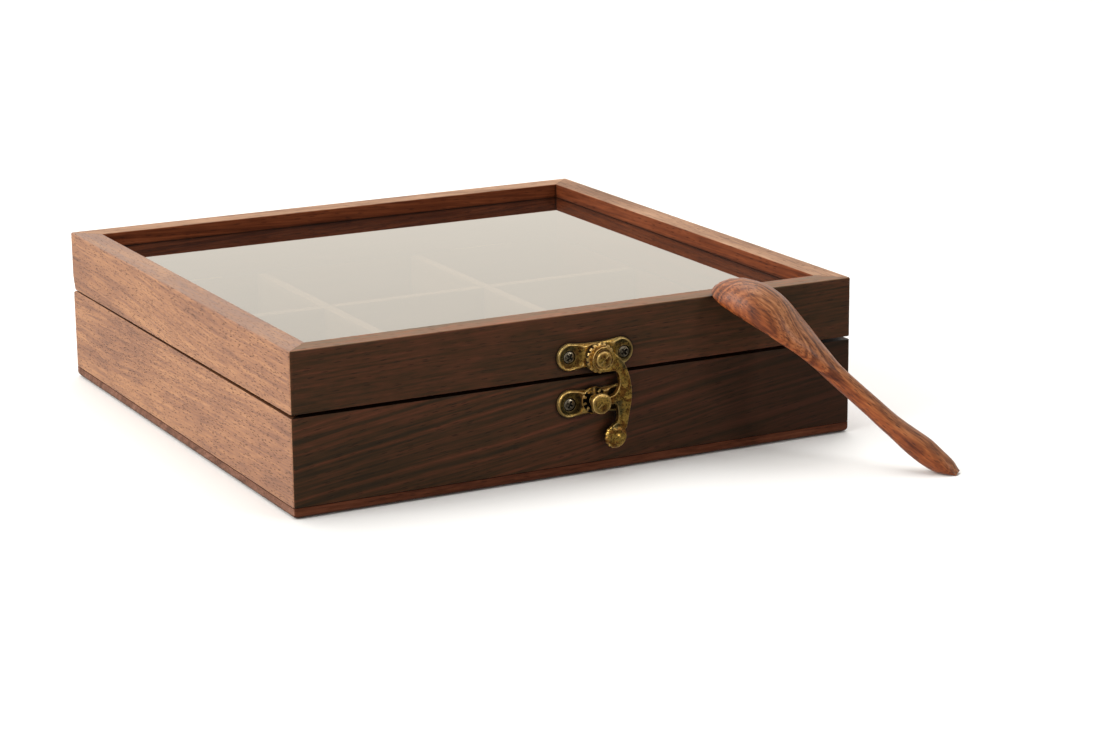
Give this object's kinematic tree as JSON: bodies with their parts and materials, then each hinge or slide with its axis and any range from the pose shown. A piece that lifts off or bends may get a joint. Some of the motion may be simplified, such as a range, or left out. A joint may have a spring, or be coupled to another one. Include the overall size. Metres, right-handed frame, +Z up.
{
  "type": "wooden spice box",
  "caption": "Square wooden spice box with a divided tray, a hinged glazed lid, a brass swing latch and a small wooden spoon.",
  "frame": {"origin": "centre of the box's underside, on the surface it stands on", "axes": "+X to the right along the front, +Y to the back, +Z up; the latch is on the -Y face and the hinges are at the +Y edge"},
  "size_m": [0.2078, 0.2648, 0.0594],
  "materials": {
    "rosewood": "waxed dark rosewood",
    "divider_wood": "plain planed wood",
    "spoon_wood": "oiled, hand carved",
    "aged_brass": "antique, darkened in the recesses",
    "dark_screw": "darkened bronze",
    "clear_glass": "polished clear pane"
  },
  "bodies": {
    "base": {"base_front_board": "rosewood", "base_right_board": "rosewood", "base_back_board": "rosewood", "base_left_board": "rosewood", "bottom_panel": "rosewood", "divider_lengthwise_1": "divider_wood", "divider_crosswise_1": "divider_wood", "divider_lengthwise_2": "divider_wood", "divider_crosswise_2": "divider_wood", "hinge_left_base_leaf": "aged_brass", "hinge_left_pin": "aged_brass", "hinge_left_base_screw_1": "dark_screw", "hinge_left_base_screw_2": "dark_screw", "hinge_right_base_leaf": "aged_brass", "hinge_right_pin": "aged_brass", "hinge_right_base_screw_1": "dark_screw", "hinge_right_base_screw_2": "dark_screw", "latch_lower_plate": "aged_brass", "latch_post": "aged_brass", "latch_screw_3": "dark_screw", "latch_screw_4": "dark_screw"},
    "lid": {"lid_front_rail": "rosewood", "lid_right_rail": "rosewood", "lid_back_rail": "rosewood", "lid_left_rail": "rosewood", "lid_glass": "clear_glass", "hinge_left_lid_leaf": "aged_brass", "hinge_left_lid_screw_1": "dark_screw", "hinge_left_lid_screw_2": "dark_screw", "hinge_right_lid_leaf": "aged_brass", "hinge_right_lid_screw_1": "dark_screw", "hinge_right_lid_screw_2": "dark_screw", "latch_top_plate": "aged_brass", "latch_rivet": "aged_brass", "latch_screw_1": "dark_screw", "latch_screw_2": "dark_screw"},
    "latch_arm": {"latch_arm": "aged_brass"},
    "spoon": {"spoon": "spoon_wood"}
  },
  "joints": [
    {"name": "lid_hinge", "type": "hinge", "parent": "base", "child": "lid", "pos_m": [0, 0.0991, 0.0328], "axis": [-1, 0, 0], "range_deg": [0, 95]},
    {"name": "latch_swing", "type": "hinge", "parent": "lid", "child": "latch_arm", "pos_m": [0.00495, -0.1053, 0.0385], "axis": [0, -1, 0], "range_deg": [0, 180]},
    {"name": "spoon_lift", "type": "hinge", "parent": "base", "child": "spoon", "pos_m": [0.14464, -0.2063, -0.02155], "axis": [0.7417, 0.6707, 0], "range_deg": [0, 139]}
  ],
  "couplings": [
    {"joint": "spoon_lift", "follows": "lid_hinge", "ratio": 1.461}
  ]
}
